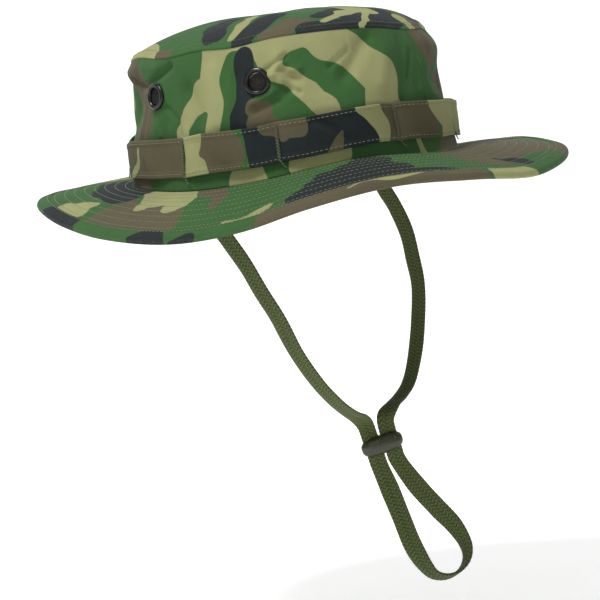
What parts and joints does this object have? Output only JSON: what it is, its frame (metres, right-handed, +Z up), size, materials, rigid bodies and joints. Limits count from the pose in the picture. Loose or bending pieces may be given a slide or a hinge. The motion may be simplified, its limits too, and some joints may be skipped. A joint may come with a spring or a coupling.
{
  "type": "boonie hat",
  "caption": "Wide-brimmed soft camouflage hat with a flat-topped oval crown, a looped foliage band, screened side vents and a flat chin cord with a sliding keeper.",
  "frame": {"origin": "centre of the head opening, at the height of the seam between crown and brim at the front and back", "axes": "+Z up through the crown, -Y the way the wearer faces, +X the wearer's left"},
  "size_m": [0.2738, 0.317, 0.3283],
  "materials": {
    "camouflage_cloth": "matt cotton poplin",
    "olive_tape": "matt cotton tape",
    "label_cloth": "matt woven label",
    "interlining": "stiff canvas",
    "olive_braid": "flat braid",
    "keeper_plastic": "satin gloss",
    "vent_enamel": "gloss enamel",
    "vent_screen": "satin enamel"
  },
  "bodies": {
    "hat": {"crown_top": "camouflage_cloth", "crown_side_left": "camouflage_cloth", "crown_side_right": "camouflage_cloth", "crown_seam_tape": "olive_tape", "sweatband": "olive_tape", "size_label": "label_cloth", "foliage_band": "camouflage_cloth", "brim_upper": "camouflage_cloth", "brim_interlining": "interlining", "brim_lower": "camouflage_cloth", "brim_binding": "camouflage_cloth", "vent_rim_front_left": "vent_enamel", "vent_screen_front_left": "vent_screen", "vent_washer_front_left": "vent_enamel", "vent_rim_back_left": "vent_enamel", "vent_screen_back_left": "vent_screen", "vent_washer_back_left": "vent_enamel", "vent_rim_back_right": "vent_enamel", "vent_screen_back_right": "vent_screen", "vent_washer_back_right": "vent_enamel", "vent_rim_front_right": "vent_enamel", "vent_screen_front_right": "vent_screen", "vent_washer_front_right": "vent_enamel", "chin_cord_tab_left": "olive_braid", "chin_cord_tab_right": "olive_braid"},
    "chin_strap": {"chin_cord": "olive_braid"},
    "keeper": {"cord_keeper": "keeper_plastic"}
  },
  "joints": [
    {"name": "chin_strap_swing", "type": "hinge", "parent": "hat", "child": "chin_strap", "pos_m": [0, 0.002, -0.0186], "axis": [1, 0, 0], "range_deg": [-60, 75], "deforming": ["chin_cord"]},
    {"name": "keeper_slide", "type": "slide", "parent": "chin_strap", "child": "keeper", "axis": [0.12, -0.16, -0.9798], "range_m": [0, 0.03], "deforming": ["chin_cord"]}
  ]
}
